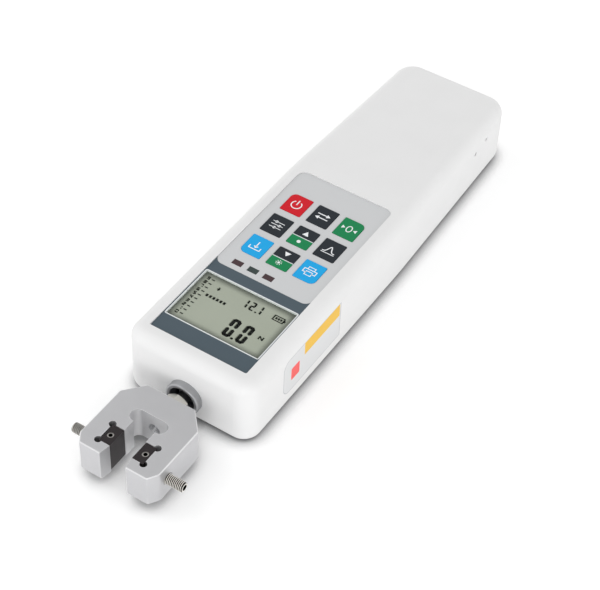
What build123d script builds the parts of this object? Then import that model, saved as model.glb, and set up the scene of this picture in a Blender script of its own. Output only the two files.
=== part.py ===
"""Hand-held digital force gauge with a two-jaw clamp on its measuring rod.

The gauge lies on its back.  Units are millimetres.  The origin is the centre of
the four mounting holes in the back, +Z points up out of the back towards the
display, +Y points from the rod towards the grip end, and +X is to the right of
someone who reads the display.
"""

import os

from build123d import *

os.makedirs("parts", exist_ok=True)

# ---------------------------------------------------------------- housing
body_length = 236.0
body_width = 66.0
body_height = 36.0
wall = 3.0                    # side, end and top wall
cover_thickness = 3.2         # flat back cover, below the parting line
corner_radius = 8.6           # upright corners at the rod end, seen in plan
grip_corner_radius = 10.5     # the same at the grip end
top_radius = 6.2              # round between the top and the sides
bottom_radius = 4.4           # round between the back and the sides
grip_start = 9.0              # the sides begin to close in here
grip_inset = 3.2              # how far each side has closed in at the grip end
slope_start = 19.0            # the top begins to fall here
slope_drop = 3.2              # how far the top has fallen at the grip end
bend_radius = 220.0           # soft bend where a side or the top changes direction
parting_gap = 0.05

body_front = -body_length / 2
body_back = body_length / 2
ceiling = body_height - wall  # inside face of the top wall

lip_height = 2.0              # rim of the back cover that locates the top shell
lip_width = 1.4
lip_gap = 0.15

# ---------------------------------------------------------------- front panel
panel_width = 50.3
panel_inset = 8.7             # from the housing's front to the panel
panel_length = 121.2
panel_recess = 0.6            # the panel's face lies this far below the top
panel_thickness = 1.0
panel_gap = 0.1
panel_corner = 4.0            # corners of the keypad field
panel_front_corner = 0.8
display_length = 48.2         # dark display field at the rod end of the panel

panel_front = body_front + panel_inset
panel_back = panel_front + panel_length
panel_face = body_height - panel_recess
panel_floor = panel_face - panel_thickness
display_end = panel_front + display_length

window_width = 48.1
window_inset = 10.2           # from the panel's front edge
window_length = 31.3
window_gap = 0.05
window_front = panel_front + window_inset
window_center = window_front + window_length / 2

lcd_margin = 0.35             # the liquid crystal cell reaches past the window
lcd_thickness = 2.0
lcd_gap = 0.05
lcd_pocket_gap = 0.2
backlight_thickness = 0.6

# ---------------------------------------------------------------- circuit board
board_width = 48.0
board_thickness = 1.6
board_front_inset = 11.0      # from the housing's front
board_back_inset = 2.0        # from the panel's back edge
board_drop = 1.4              # boss height between the ceiling and the board
board_front = body_front + board_front_inset
board_back = panel_back - board_back_inset
board_top = ceiling - board_drop
board_bottom = board_top - board_thickness
board_screw_radius = 1.25
board_screw_bite = 0.8        # screw reach into the ceiling
board_boss_radius = 3.0
board_screw_head_radius = 2.2
board_screw_head = 1.4
board_screw_x = 21.0
board_screw_inset = 3.2        # from each end of the board
board_screw_middle = 6.6       # behind the window
board_screw_rows = (
    board_front + board_screw_inset,
    window_front + window_length + board_screw_middle,
    board_back - board_screw_inset,
)

# ---------------------------------------------------------------- keys and lamps
key_width = 10.9
key_length = 12.5
key_pitch_x = 14.3
key_pitch_y = 16.6
key_row_inset = 66.4          # from the panel's front edge to the first row of keys
key_first_row = panel_front + key_row_inset
key_gap = 0.15
key_travel = 0.4
key_proud = 0.25              # the key's face stands this far out of the panel
key_floor_gap = 0.5           # space for the travel between key and panel floor
key_corner = 0.5
key_outer_corner = 2.8        # the corner key's outermost corner
key_edge = 0.2
stem_radius = 2.2
stem_gap = 0.3
dome_radius = 3.5
dome_height = 0.5
dome_gap = 0.05               # gap left when a key is fully down
dome_slope = 60.0             # degrees
key_names = (
    ("key_memory", "key_down", "key_print"),
    ("key_set", "key_up", "key_peak"),
    ("key_power", "key_unit", "key_zero"),
)

lamp_names = ("lamp_lens_low", "lamp_lens_good", "lamp_lens_high")
lamp_first_x = -15.3
lamp_pitch = 8.2
lamp_inset = 52.8             # from the panel's front edge
lamp_y = panel_front + lamp_inset
lamp_width = 5.0
lamp_length = 3.0
lamp_gap = 0.1
lamp_stem_radius = 1.3
lamp_stem_gap = 0.15
led_width = 2.0
led_length = 1.6
led_height = 0.9
led_gap = 0.1

# ---------------------------------------------------------------- measuring rod
rod_height = 14.0             # height of the measuring axis above the back
thread_radius = 3.0           # M6
shoulder_radius = 5.0
rod_travel = 0.25             # flex of the load cell, each way
bush_outer_radius = 8.5
bush_inner_radius = 6.4
bush_length = 12.0
bush_proud = 3.8              # the bush stands this far out of the housing's front
bush_round = 1.0
shoulder_inset = 1.5          # from the housing's front
shoulder_front = body_front + shoulder_inset

cell_inset = 19.0             # from the housing's front to the load cell
cell_front = body_front + cell_inset
cell_length = 32.0
cell_width = 16.0
cell_height = 19.0
cell_slot = 1.6
cell_slot_inset = 7.0
cell_web = 5.0
cell_window_length = 10.0
cell_window_height = 11.0
cell_window_corner = 4.0
cell_bore_depth = 6.0
cell_bore_gap = 0.05
cell_end_gap = 0.1            # axial gap that the travel leaves

bracket_width = 30.0
bracket_plate = 6.0
bracket_foot = 22.0
bracket_foot_thickness = 4.0
bracket_top = 25.0
bracket_rib = 3.0
pad_height = 1.0              # raised pad of the cover under the bracket
pad_margin = 2.0
pad_gap = 0.5                 # between the pad and the load cell
cell_bolt_head_radius = 5.0
cell_bolt_head = 5.0
cell_bolt_key = 2.5           # half the hexagon socket's width across flats
cell_bolt_depth = 5.0
foot_screw_radius = 2.0
foot_screw_head_radius = 3.5
foot_screw_head = 2.4
foot_screw_bite = 3.0
foot_screw_x = 8.0
foot_screw_rows = (7.0, 16.0)  # from the upright's rear face

# ---------------------------------------------------------------- clamp
clamp_nut_space = 5.3         # from the housing's front to the nut
nut_flats = 10.0              # M6 hexagon nut, width across flats
nut_thickness = 5.0
nut_bevel = 0.5               # along the axis, at the corners of both faces
nut_bevel_reach = 0.85        # across the axis
clamp_length = 41.5
clamp_width = 40.8
clamp_thickness = 17.2
clamp_front_width = 34.6
clamp_front_bevel = 4.7
clamp_front_round = 1.2       # between the front and the bevel
clamp_side_round = 4.0        # between the bevel and the side
clamp_back_width = 24.6
clamp_back_bevel = 9.3
clamp_edge = 0.4
slot_width = 11.3
slot_length = 28.6
slot_relief_radius = 3.4
slot_relief_out = 0.3
mouth_width = 13.5
mouth_length = 5.4
jaw_center = 10.6             # from the clamp's front to the middle of the jaws
jaw_length = 10.0
jaw_depth = 5.65
jaw_gap = 0.1
jaw_top_gap = 0.4
jaw_bottom_gap = 1.2
pocket_clearance = 0.35       # behind the jaw
pocket_relief_radius = 1.7
rod_short = 4.0               # the rod ends this far inside the slot's rear wall

screw_radius = 2.5            # M5
screw_gap = 0.05
screw_hole_bevel = 0.6         # at the mouth of each threaded hole
screw_length = 21.8
screw_bevel = 0.5
screw_socket = 1.25           # half the socket's width across flats
screw_socket_depth = 3.2
nose_radius = 1.9
nose_length = 4.4
nose_tip = 0.5
groove_radius = 1.2
pin_radius = 1.5              # M3 set screw in the jaw
pin_gap = 0.1
pin_sink = 0.3
pin_socket = 0.75
pin_socket_depth = 1.6

clamp_back = body_front - clamp_nut_space - nut_thickness
clamp_front = clamp_back - clamp_length
clamp_bottom = rod_height - clamp_thickness / 2
clamp_top = rod_height + clamp_thickness / 2
slot_end = clamp_front + slot_length
jaw_y = clamp_front + jaw_center
jaw_face = slot_width / 2
jaw_back = jaw_face + jaw_depth
nose_start = jaw_back - nose_length
groove_start = nose_start + nose_tip
groove_length = 2 * (pin_radius + pin_gap)
pin_x = groove_start + groove_length / 2

# ---------------------------------------------------------------- back cover
insert_spacing_x = 40.0
insert_clearance = 4.9        # between the bosses and the battery cradle
insert_radius = 3.5
insert_bore = 2.5             # M5
insert_length = 8.0
insert_boss_radius = 5.2
insert_boss_cap = 2.0

case_screw_radius = 1.5       # M3
case_screw_gap = 0.15
case_screw_length = 12.0
case_head_radius = 2.7
case_head_height = 1.7
case_head_gap = 0.25
case_pillar_radius = 3.6
case_screw_inset = 6.4        # from the housing's side
case_screw_end = 8.2          # from each end of the housing
case_grip_inset = 6.4         # the two at the grip end stand this much closer together

# ---------------------------------------------------------------- battery and sockets
battery_radius = 7.1
battery_length = 28.6
battery_gap = 0.2
battery_columns = 3
battery_rows = 2
battery_inset = 47.5          # from the grip end to the middle of the cells
battery_y = body_back - battery_inset
cradle_height = 7.0
cradle_wall = 1.5
cradle_gap = 0.2

io_board_inset = 4.4          # from the housing's left side
io_board_width = 16.6
io_board_half = 20.0
io_board_rise = 0.5           # between the insert bosses and the socket board
io_board_bottom = insert_length + insert_boss_cap + io_board_rise
io_post_radius = 2.4
io_post_inset = 2.7           # from the edges of the socket board
io_board_left = -body_width / 2 + io_board_inset
io_board_right = io_board_left + io_board_width
io_screw_radius = 1.0
io_screw_head_radius = 1.9
io_screw_head = 1.3
io_screw_bite = 5.0

socket_gap = 0.15
socket_sink = 0.3             # the sockets end this far inside the housing's side
data_y = -8.5
data_width = 7.7
data_height = 3.9
data_depth = 9.0
data_shell = 0.35
data_tongue = 1.1
data_cavity = 6.0
power_y = 7.5
power_width = 9.0
power_height = 11.0
power_depth = 14.0
power_bore = 3.15
power_bore_depth = 9.5
power_pin = 1.0

vent_radius = 1.1
vent_reach = 5.0
vent_places = ((body_back - 24.1, 24.4), (body_back - 35.3, 22.8))


# ================================================================ shared forms
def housing_form(inset, low, round_bottom):
    """Housing outline from height low up, moved in by inset at the sides, ends and top."""
    half = body_width / 2 - inset
    far_half = half - grip_inset
    front = body_front + inset
    back = body_back - inset
    top = body_height - inset
    with BuildPart() as form:
        with BuildSketch(Plane.XY.offset(low)) as plan:
            with BuildLine():
                Polyline(
                    (-half, front), (half, front), (half, grip_start), (far_half, back),
                    (-far_half, back), (-half, grip_start), close=True,
                )
            make_face()
            fillet(plan.vertices().group_by(Axis.Y)[1], bend_radius)
            fillet(plan.vertices().group_by(Axis.Y)[0], corner_radius - inset)
            fillet(plan.vertices().group_by(Axis.Y)[-1], grip_corner_radius - inset)
        extrude(amount=top - low)
        with BuildSketch(Plane.YZ) as profile:
            with BuildLine():
                Polyline(
                    (front, low), (back, low), (back, top - slope_drop),
                    (slope_start, top), (front, top), close=True,
                )
            make_face()
            fillet(profile.vertices().group_by(Axis.X)[1], bend_radius)
        extrude(amount=half, both=True, mode=Mode.INTERSECT)
        rim = form.edges().filter_by(lambda e: e.center().Z > top - slope_drop - 0.01)
        rim = rim.filter_by(
            lambda e: abs(e.center().X) > 1 or e.center().Y < front + 1 or e.center().Y > back - 1
        )
        fillet(rim, top_radius - inset)
        if round_bottom:
            fillet(form.edges().filter_by(lambda e: e.bounding_box().max.Z < low + 0.01), bottom_radius)
    return form.part


def keypad_outline(shrink):
    """Rounded field of the keypad, moved in by shrink, as a private sketch."""
    with BuildSketch(mode=Mode.PRIVATE) as field:
        with Locations((0, (display_end + panel_back) / 2)):
            RectangleRounded(
                panel_width - 2 * shrink, panel_back - display_end - 2 * shrink, panel_corner - shrink
            )
    return field.sketch


def key_place(column, row):
    """Centre of a key, counted from the left and from the display."""
    return (column - 1) * key_pitch_x, key_first_row + row * key_pitch_y


def key_outline(column, row, growth):
    """Outline of a key, grown all round; a corner key has one larger corner."""
    with BuildSketch(mode=Mode.PRIVATE) as outline:
        with Locations(key_place(column, row)):
            Rectangle(key_width + 2 * growth, key_length + 2 * growth)
        corners = outline.vertices().sort_by(lambda v: v.X * (column - 1) + v.Y * (row - 1))
        if column != 1 and row != 1:
            fillet(corners[-1], key_outer_corner + growth)
            corners = outline.vertices().sort_by(lambda v: v.X * (column - 1) + v.Y * (row - 1))[:3]
        fillet(corners, key_corner + growth)
    return outline.sketch


key_places = [key_place(column, row) for row in range(3) for column in range(3)]
lamp_places = [(lamp_first_x + index * lamp_pitch, lamp_y) for index in range(3)]
board_screw_places = [(side * board_screw_x, y) for side in (-1, 1) for y in board_screw_rows]
case_screw_places = [
    (side * (body_width / 2 - case_screw_inset - inset), end * (body_back - case_screw_end))
    for side in (-1, 1)
    for end, inset in ((-1, 0), (1, case_grip_inset))
]


# ================================================================ housing
housing_solid = housing_form(0, 0, True)
cavity_solid = housing_form(wall, cover_thickness, False)
lip_solid = housing_form(wall + lip_gap, cover_thickness, False)
data_z = io_board_bottom + board_thickness + data_height / 2
power_z = io_board_bottom + board_thickness + power_height / 2

# pillars for the case screws, grown into the top wall
with BuildPart() as case_pillars:
    with BuildSketch(Plane.XY.offset(cover_thickness + parting_gap)):
        with Locations(*case_screw_places):
            Circle(case_pillar_radius)
    extrude(amount=body_height)
    add(housing_form(wall / 2, cover_thickness, False), mode=Mode.INTERSECT)

with BuildPart() as top_shell:
    add(housing_solid)
    split(bisect_by=Plane.XY.offset(cover_thickness + parting_gap), keep=Keep.TOP)
    add(cavity_solid, mode=Mode.SUBTRACT)
    add(case_pillars.part)
    # recess for the panel
    with BuildSketch(Plane.XY.offset(panel_floor)) as recess:
        with Locations((0, (panel_front + panel_back) / 2)):
            Rectangle(panel_width, panel_length)
        fillet(recess.vertices().group_by(Axis.Y)[-1], panel_corner)
        fillet(recess.vertices().group_by(Axis.Y)[0], panel_front_corner)
    extrude(amount=body_height, mode=Mode.SUBTRACT)
    # opening under the display
    with BuildSketch(Plane.XY.offset(panel_floor)):
        with Locations((0, window_center)):
            Rectangle(
                window_width + 2 * (lcd_margin + lcd_pocket_gap),
                window_length + 2 * (lcd_margin + lcd_pocket_gap),
            )
    extrude(amount=-wall, mode=Mode.SUBTRACT)
    # holes for the key stems and the lamp lenses
    with BuildSketch(Plane.XY.offset(panel_floor)):
        with Locations(*key_places):
            Circle(stem_radius + stem_gap)
        with Locations(*lamp_places):
            Circle(lamp_stem_radius + lamp_stem_gap)
    extrude(amount=-wall, mode=Mode.SUBTRACT)
    # bosses that the circuit board hangs from
    with BuildSketch(Plane.XY.offset(board_top)):
        with Locations(*board_screw_places):
            Circle(board_boss_radius)
    extrude(amount=board_drop + board_screw_bite / 2)
    with BuildSketch(Plane.XY.offset(board_top)):
        with Locations(*board_screw_places):
            Circle(board_screw_radius)
    extrude(amount=board_drop + board_screw_bite, mode=Mode.SUBTRACT)
    # pilot holes for the case screws
    with BuildSketch(Plane.XY.offset(cover_thickness)):
        with Locations(*case_screw_places):
            Circle(case_screw_radius)
    extrude(amount=case_screw_length, mode=Mode.SUBTRACT)
    # bore for the rod's bush
    with BuildSketch(Plane.XZ.offset(-body_front - 1 - wall)):
        with Locations((0, rod_height)):
            Circle(bush_outer_radius)
    extrude(amount=wall + 2, mode=Mode.SUBTRACT)
    # openings for the two sockets
    with BuildSketch(Plane.YZ.offset(-body_width / 2 - 1)):
        with Locations((data_y, data_z)):
            Rectangle(data_width + 2 * socket_gap, data_height + 2 * socket_gap)
        with Locations((power_y, power_z)):
            Rectangle(power_width + 2 * socket_gap, power_height + 2 * socket_gap)
    extrude(amount=wall + 2, mode=Mode.SUBTRACT)
    # two small vents high on the right side of the grip
    for y, z in vent_places:
        with BuildSketch(Plane.YZ.offset(body_width / 2)):
            with Locations((y, z)):
                Circle(vent_radius)
        extrude(amount=-vent_reach, mode=Mode.SUBTRACT)
top_shell.part.label = "top_shell"

cell_back = cell_front + cell_length
bracket_back = cell_back + bracket_plate + bracket_foot
bracket_floor = cover_thickness + pad_height
foot_screw_places = [
    (side * foot_screw_x, cell_back + bracket_plate + row) for side in (-1, 1) for row in foot_screw_rows
]
io_screw_places = [
    (x, side * (io_board_half - io_post_inset))
    for x in (io_board_left + io_post_inset, io_board_right - io_post_inset)
    for side in (-1, 1)
]
battery_pitch = 2 * battery_radius + battery_gap
battery_step = battery_length + battery_gap
cradle_x = battery_columns * battery_pitch - battery_gap + 2 * cradle_gap
cradle_y = battery_rows * battery_step - battery_gap + 2 * cradle_gap
cradle_front = battery_y - cradle_y / 2 - cradle_wall
insert_y = cradle_front - insert_clearance - insert_boss_radius
insert_places = [(side * insert_spacing_x / 2, end * insert_y) for side in (-1, 1) for end in (-1, 1)]

with BuildPart() as rear_cover:
    add(housing_solid)
    split(bisect_by=Plane.XY.offset(cover_thickness), keep=Keep.BOTTOM)
    # locating rim inside the top shell
    add(lip_solid)
    split(bisect_by=Plane.XY.offset(cover_thickness + lip_height), keep=Keep.BOTTOM)
    with BuildSketch(Plane.XY.offset(cover_thickness)) as inner:
        lip_half = body_width / 2 - wall - lip_gap - lip_width
        lip_end = body_back - wall - lip_gap - lip_width
        with BuildLine():
            Polyline(
                (-lip_half, -lip_end), (lip_half, -lip_end), (lip_half, grip_start),
                (lip_half - grip_inset, lip_end), (grip_inset - lip_half, lip_end),
                (-lip_half, grip_start), close=True,
            )
        make_face()
        fillet(inner.vertices().group_by(Axis.Y)[0], corner_radius - wall - lip_width)
        fillet(inner.vertices().group_by(Axis.Y)[-1], grip_corner_radius - wall - lip_width)
    extrude(amount=lip_height, mode=Mode.SUBTRACT)
    # the rim stops short of the pillars and of the rod's bush
    with BuildSketch(Plane.XY.offset(cover_thickness)):
        with Locations(*case_screw_places):
            Circle(case_pillar_radius + lip_gap)
    extrude(amount=lip_height, mode=Mode.SUBTRACT)
    # bosses for the threaded inserts, posts for the socket board, pad for the bracket
    with BuildSketch(Plane.XY.offset(cover_thickness)):
        with Locations(*insert_places):
            Circle(insert_boss_radius)
    extrude(amount=insert_length + insert_boss_cap - cover_thickness)
    with BuildSketch(Plane.XY.offset(cover_thickness)):
        with Locations(*io_screw_places):
            Circle(io_post_radius)
    extrude(amount=io_board_bottom - cover_thickness)
    with BuildSketch(Plane.XY.offset(cover_thickness)):
        with Locations((0, (cell_back + pad_gap + bracket_back + pad_margin) / 2)):
            Rectangle(bracket_width + 2 * pad_margin, bracket_back + pad_margin - cell_back - pad_gap)
    extrude(amount=pad_height)
    # cradle round the battery cells
    with BuildSketch(Plane.XY.offset(cover_thickness)):
        with Locations((0, battery_y)):
            Rectangle(cradle_x + 2 * cradle_wall, cradle_y + 2 * cradle_wall)
            Rectangle(cradle_x, cradle_y, mode=Mode.SUBTRACT)
    extrude(amount=cradle_height)
    # holes
    with BuildSketch(Plane.XY):
        with Locations(*insert_places):
            Circle(insert_radius)
    extrude(amount=insert_length, mode=Mode.SUBTRACT)
    with BuildSketch(Plane.XY):
        with Locations(*case_screw_places):
            Circle(case_head_radius + case_head_gap)
    extrude(amount=case_head_height, mode=Mode.SUBTRACT)
    with BuildSketch(Plane.XY):
        with Locations(*case_screw_places):
            Circle(case_screw_radius + case_screw_gap)
    extrude(amount=cover_thickness, mode=Mode.SUBTRACT)
    with BuildSketch(Plane.XY.offset(bracket_floor)):
        with Locations(*foot_screw_places):
            Circle(foot_screw_radius)
    extrude(amount=-foot_screw_bite, mode=Mode.SUBTRACT)
    with BuildSketch(Plane.XY.offset(io_board_bottom)):
        with Locations(*io_screw_places):
            Circle(io_screw_radius)
    extrude(amount=-io_screw_bite, mode=Mode.SUBTRACT)
rear_cover.part.label = "rear_cover"

with BuildPart() as case_screws:
    with BuildSketch(Plane.XY):
        with Locations(*case_screw_places):
            Circle(case_head_radius)
    extrude(amount=case_head_height)
    with BuildSketch(Plane.XY.offset(case_head_height)):
        with Locations(*case_screw_places):
            Circle(case_screw_radius)
    extrude(amount=case_screw_length)
case_screws.part.label = "case_screws"

with BuildPart() as stand_inserts:
    with BuildSketch(Plane.XY):
        with Locations(*insert_places):
            Circle(insert_radius)
            Circle(insert_bore, mode=Mode.SUBTRACT)
    extrude(amount=insert_length)
stand_inserts.part.label = "stand_inserts"


# ================================================================ front panel
with BuildPart() as display_frame:
    with BuildSketch(Plane.XY.offset(panel_floor)) as frame_plan:
        with Locations((0, (panel_front + display_end + panel_corner) / 2)):
            Rectangle(panel_width - 2 * panel_gap, display_length + panel_corner - 2 * panel_gap)
        fillet(frame_plan.vertices().group_by(Axis.Y)[0], panel_front_corner)
        add(keypad_outline(0), mode=Mode.SUBTRACT)
        with Locations((0, window_center)):
            Rectangle(window_width, window_length, mode=Mode.SUBTRACT)
    extrude(amount=panel_thickness)
display_frame.part.label = "display_frame"

with BuildPart() as display_window:
    with BuildSketch(Plane.XY.offset(panel_floor)):
        with Locations((0, window_center)):
            Rectangle(window_width - 2 * window_gap, window_length - 2 * window_gap)
    extrude(amount=panel_thickness)
display_window.part.label = "display_window"

with BuildPart() as lcd_cell:
    with BuildSketch(Plane.XY.offset(panel_floor - lcd_gap)):
        with Locations((0, window_center)):
            Rectangle(window_width + 2 * lcd_margin, window_length + 2 * lcd_margin)
    extrude(amount=-lcd_thickness)
lcd_cell.part.label = "lcd_cell"

with BuildPart() as backlight_panel:
    with BuildSketch(Plane.XY.offset(board_top)):
        with Locations((0, window_center)):
            Rectangle(window_width, window_length)
    extrude(amount=backlight_thickness)
backlight_panel.part.label = "backlight_panel"

with BuildPart() as keypad_overlay:
    with BuildSketch(Plane.XY.offset(panel_floor)):
        add(keypad_outline(panel_gap))
        for row in range(3):
            for column in range(3):
                add(key_outline(column, row, key_gap), mode=Mode.SUBTRACT)
        with Locations(*lamp_places):
            Rectangle(lamp_width + 2 * lamp_gap, lamp_length + 2 * lamp_gap, mode=Mode.SUBTRACT)
    extrude(amount=panel_thickness)
keypad_overlay.part.label = "keypad_overlay"

keys = []
cap_floor = panel_floor + key_floor_gap
cap_face = panel_face + key_proud
stem_floor = board_top + dome_height + key_travel + dome_gap
for row in range(3):
    for column in range(3):
        x, y = key_place(column, row)
        with BuildPart() as key:
            with BuildSketch(Plane.XY.offset(cap_floor)):
                add(key_outline(column, row, 0))
            extrude(amount=cap_face - cap_floor)
            fillet(key.faces().sort_by(Axis.Z)[-1].edges(), key_edge)
            with BuildSketch(Plane((x, y, stem_floor))):
                Circle(stem_radius)
            extrude(amount=cap_floor - stem_floor)
        key.part.label = key_names[row][column]
        keys.append(key)

with BuildPart() as key_domes:
    for x, y in key_places:
        with BuildSketch(Plane((x, y, board_top))):
            Circle(dome_radius)
        extrude(amount=dome_height, taper=dome_slope)
key_domes.part.label = "key_domes"

lamp_lenses = []
for name, (x, y) in zip(lamp_names, lamp_places):
    with BuildPart() as lamp_lens:
        with BuildSketch(Plane((x, y, panel_floor))):
            Rectangle(lamp_width, lamp_length)
        extrude(amount=panel_thickness)
        with BuildSketch(Plane((x, y, board_top + led_height + led_gap))):
            Circle(lamp_stem_radius)
        extrude(amount=panel_floor - board_top - led_height - led_gap)
    lamp_lens.part.label = name
    lamp_lenses.append(lamp_lens)

with BuildPart() as status_leds:
    with BuildSketch(Plane.XY.offset(board_top)):
        with Locations(*lamp_places):
            Rectangle(led_width, led_length)
    extrude(amount=led_height)
status_leds.part.label = "status_leds"

with BuildPart() as main_board:
    with BuildSketch(Plane.XY.offset(board_bottom)):
        with Locations((0, (board_front + board_back) / 2)):
            Rectangle(board_width, board_back - board_front)
        with Locations(*board_screw_places):
            Circle(board_screw_radius, mode=Mode.SUBTRACT)
    extrude(amount=board_thickness)
main_board.part.label = "main_board"

with BuildPart() as board_screws:
    with BuildSketch(Plane.XY.offset(board_bottom)):
        with Locations(*board_screw_places):
            Circle(board_screw_radius)
    extrude(amount=board_thickness + board_drop + board_screw_bite)
    with BuildSketch(Plane.XY.offset(board_bottom)):
        with Locations(*board_screw_places):
            Circle(board_screw_head_radius)
    extrude(amount=-board_screw_head)
board_screws.part.label = "board_screws"


# ================================================================ measuring line
def rod_plane(y):
    """Upright plane across the measuring axis at y, facing the clamp."""
    return Plane(origin=(0, y, rod_height), x_dir=(1, 0, 0), z_dir=(0, -1, 0))


with BuildPart() as collar_bush:
    bush_front = body_front - bush_proud
    with BuildSketch(rod_plane(bush_front + bush_length)):
        Circle(bush_outer_radius)
        Circle(bush_inner_radius, mode=Mode.SUBTRACT)
    extrude(amount=bush_length)
    fillet(collar_bush.edges().filter_by(GeomType.CIRCLE).group_by(Axis.Y)[0], bush_round)
collar_bush.part.label = "collar_bush"

rod_tip = slot_end + rod_short
shoulder_back = cell_front - rod_travel - cell_end_gap
rod_end = cell_front + cell_bore_depth - rod_travel - cell_end_gap
with BuildPart() as measuring_rod:
    with BuildSketch(rod_plane(rod_end)):
        Circle(thread_radius)
    extrude(amount=rod_end - rod_tip)
    with BuildSketch(rod_plane(shoulder_back)):
        Circle(shoulder_radius)
    extrude(amount=shoulder_back - shoulder_front)
    chamfer(measuring_rod.edges().filter_by(GeomType.CIRCLE).group_by(Axis.Y)[0], screw_bevel)
measuring_rod.part.label = "measuring_rod"

with BuildPart() as lock_nut:
    with BuildSketch(rod_plane(clamp_back + nut_thickness)):
        Circle(nut_flats / 2 + nut_bevel_reach)
    extrude(amount=nut_thickness)
    chamfer(lock_nut.edges().filter_by(GeomType.CIRCLE), nut_bevel, nut_bevel_reach)
    with BuildSketch(rod_plane(clamp_back + nut_thickness)):
        RegularPolygon(nut_flats / 2, 6, major_radius=False, rotation=30)
        Circle(thread_radius, mode=Mode.SUBTRACT)
    extrude(amount=nut_thickness, mode=Mode.INTERSECT)
lock_nut.part.label = "lock_nut"

with BuildPart() as load_cell:
    with BuildSketch(Plane.YZ) as cell_profile:
        with Locations(((cell_front + cell_back) / 2, rod_height)):
            Rectangle(cell_length, cell_height)
            RectangleRounded(
                cell_window_length, cell_window_height, cell_window_corner, mode=Mode.SUBTRACT
            )
        with Locations((cell_front + cell_slot_inset, rod_height - cell_web)):
            Rectangle(cell_slot, cell_height, mode=Mode.SUBTRACT)
        with Locations((cell_back - cell_slot_inset, rod_height + cell_web)):
            Rectangle(cell_slot, cell_height, mode=Mode.SUBTRACT)
    extrude(amount=cell_width / 2, both=True)
    with BuildSketch(rod_plane(cell_front)):
        Circle(thread_radius + cell_bore_gap)
    extrude(amount=-cell_bore_depth, mode=Mode.SUBTRACT)
    with BuildSketch(rod_plane(cell_back)):
        Circle(thread_radius)
    extrude(amount=cell_bolt_depth, mode=Mode.SUBTRACT)
load_cell.part.label = "load_cell"

with BuildPart() as cell_bracket:
    with BuildSketch(Plane.XY.offset(bracket_floor)):
        with Locations((0, (cell_back + bracket_back) / 2)):
            Rectangle(bracket_width, bracket_back - cell_back)
    extrude(amount=bracket_foot_thickness)
    with BuildSketch(Plane.XY.offset(bracket_floor)):
        with Locations((0, cell_back + bracket_plate / 2)):
            Rectangle(bracket_width, bracket_plate)
    extrude(amount=bracket_top - bracket_floor)
    # two gussets between the upright and the foot
    for side in (-1, 1):
        with BuildSketch(Plane.YZ.offset(side * (bracket_width - bracket_rib) / 2)):
            with BuildLine():
                Polyline(
                    (cell_back + bracket_plate, bracket_floor + bracket_foot_thickness),
                    (bracket_back, bracket_floor + bracket_foot_thickness),
                    (cell_back + bracket_plate, bracket_top), close=True,
                )
            make_face()
        extrude(amount=bracket_rib / 2, both=True)
    with BuildSketch(rod_plane(cell_back)):
        Circle(thread_radius)
    extrude(amount=-bracket_plate, mode=Mode.SUBTRACT)
    with BuildSketch(Plane.XY.offset(bracket_floor)):
        with Locations(*foot_screw_places):
            Circle(foot_screw_radius)
    extrude(amount=bracket_foot_thickness, mode=Mode.SUBTRACT)
cell_bracket.part.label = "cell_bracket"

with BuildPart() as cell_bolt:
    with BuildSketch(rod_plane(cell_back + bracket_plate)):
        Circle(thread_radius)
    extrude(amount=bracket_plate + cell_bolt_depth)
    with BuildSketch(rod_plane(cell_back + bracket_plate)):
        Circle(cell_bolt_head_radius)
    extrude(amount=-cell_bolt_head)
    with BuildSketch(rod_plane(cell_back + bracket_plate + cell_bolt_head)):
        RegularPolygon(cell_bolt_key, 6, major_radius=False)
    extrude(amount=cell_bolt_head / 2, mode=Mode.SUBTRACT)
cell_bolt.part.label = "cell_bolt"

with BuildPart() as bracket_screws:
    with BuildSketch(Plane.XY.offset(bracket_floor - foot_screw_bite)):
        with Locations(*foot_screw_places):
            Circle(foot_screw_radius)
    extrude(amount=foot_screw_bite + bracket_foot_thickness)
    with BuildSketch(Plane.XY.offset(bracket_floor + bracket_foot_thickness)):
        with Locations(*foot_screw_places):
            Circle(foot_screw_head_radius)
    extrude(amount=foot_screw_head)
bracket_screws.part.label = "bracket_screws"


# ================================================================ clamp
def across(x, y, side):
    """Upright plane square to the jaws' travel at x on one side, facing outwards."""
    return Plane(origin=(side * x, y, rod_height), x_dir=(0, side, 0), z_dir=(side, 0, 0))


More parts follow.
